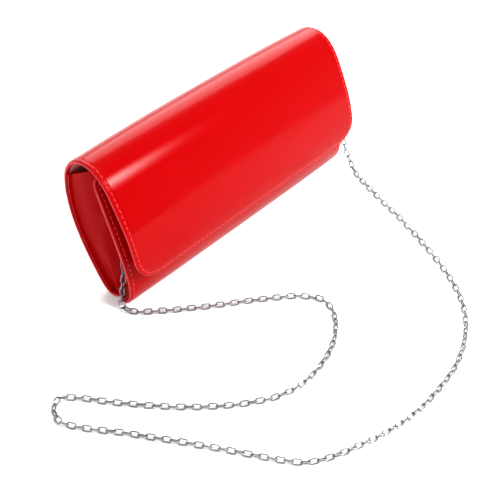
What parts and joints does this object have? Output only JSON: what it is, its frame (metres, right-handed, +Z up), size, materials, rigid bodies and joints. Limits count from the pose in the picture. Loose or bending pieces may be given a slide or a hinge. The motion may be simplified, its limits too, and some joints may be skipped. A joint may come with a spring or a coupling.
{
  "type": "clutch purse",
  "caption": "Patent flap-over evening clutch with rounded flap corners, folding end gussets, hidden magnetic snap and a loose cable-link chain strap.",
  "frame": {"origin": "centre of the purse's footprint box on the surface it stands on, without the chain strap", "axes": "+X along the purse, +Y from the flap to the back, +Z up"},
  "size_m": [0.3607, 0.2835, 0.1255],
  "materials": {
    "patent_leather": "high gloss patent",
    "gusset_leather": "gloss patent, soft",
    "lining_cloth": "satin weave",
    "stiffener_board": "matt",
    "hardware_metal": "polished",
    "chain_metal": "polished",
    "spring_steel": "satin",
    "magnet": "dull"
  },
  "bodies": {
    "body": {"back_panel": "patent_leather", "base_board": "stiffener_board", "back_board": "stiffener_board", "back_lining": "lining_cloth", "slip_pocket": "lining_cloth", "front_panel": "patent_leather", "front_board": "stiffener_board", "front_lining": "lining_cloth", "left_gusset": "gusset_leather", "right_gusset": "gusset_leather", "snap_socket": "hardware_metal", "snap_magnet": "magnet", "socket_washer": "hardware_metal", "left_tab": "patent_leather", "left_clasp": "hardware_metal", "left_lever_pin": "hardware_metal", "left_lever_spring": "spring_steel", "left_jump_ring": "hardware_metal", "right_tab": "patent_leather", "right_clasp": "hardware_metal", "right_lever_pin": "hardware_metal", "right_lever_spring": "spring_steel", "right_jump_ring": "hardware_metal", "chain_strap": "chain_metal"},
    "flap": {"flap_skin": "patent_leather", "flap_board": "stiffener_board", "flap_lining": "lining_cloth", "snap_stud": "hardware_metal", "stud_washer": "hardware_metal"},
    "left_ring": {"left_d_ring": "hardware_metal"},
    "left_gate": {"left_lever": "hardware_metal"},
    "right_ring": {"right_d_ring": "hardware_metal"},
    "right_gate": {"right_lever": "hardware_metal"}
  },
  "joints": [
    {"name": "flap_open", "type": "hinge", "parent": "body", "child": "flap", "pos_m": [0, 0.0352, 0.1075], "axis": [-1, 0, 0], "range_deg": [0, 140]},
    {"name": "left_ring_swing", "type": "hinge", "parent": "body", "child": "left_ring", "pos_m": [-0.11, 0.003, 0.09], "axis": [1, 0, 0], "range_deg": [-7, 7]},
    {"name": "left_lever_press", "type": "hinge", "parent": "body", "child": "left_gate", "pos_m": [-0.11, 0.00197, 0.0712], "axis": [1, 0, 0], "range_deg": [0, 26], "stiffness_Nm_per_rad": 0.002},
    {"name": "right_ring_swing", "type": "hinge", "parent": "body", "child": "right_ring", "pos_m": [0.11, 0.003, 0.09], "axis": [1, 0, 0], "range_deg": [-7, 7]},
    {"name": "right_lever_press", "type": "hinge", "parent": "body", "child": "right_gate", "pos_m": [0.11, 0.00197, 0.0712], "axis": [1, 0, 0], "range_deg": [0, 26], "stiffness_Nm_per_rad": 0.002}
  ]
}
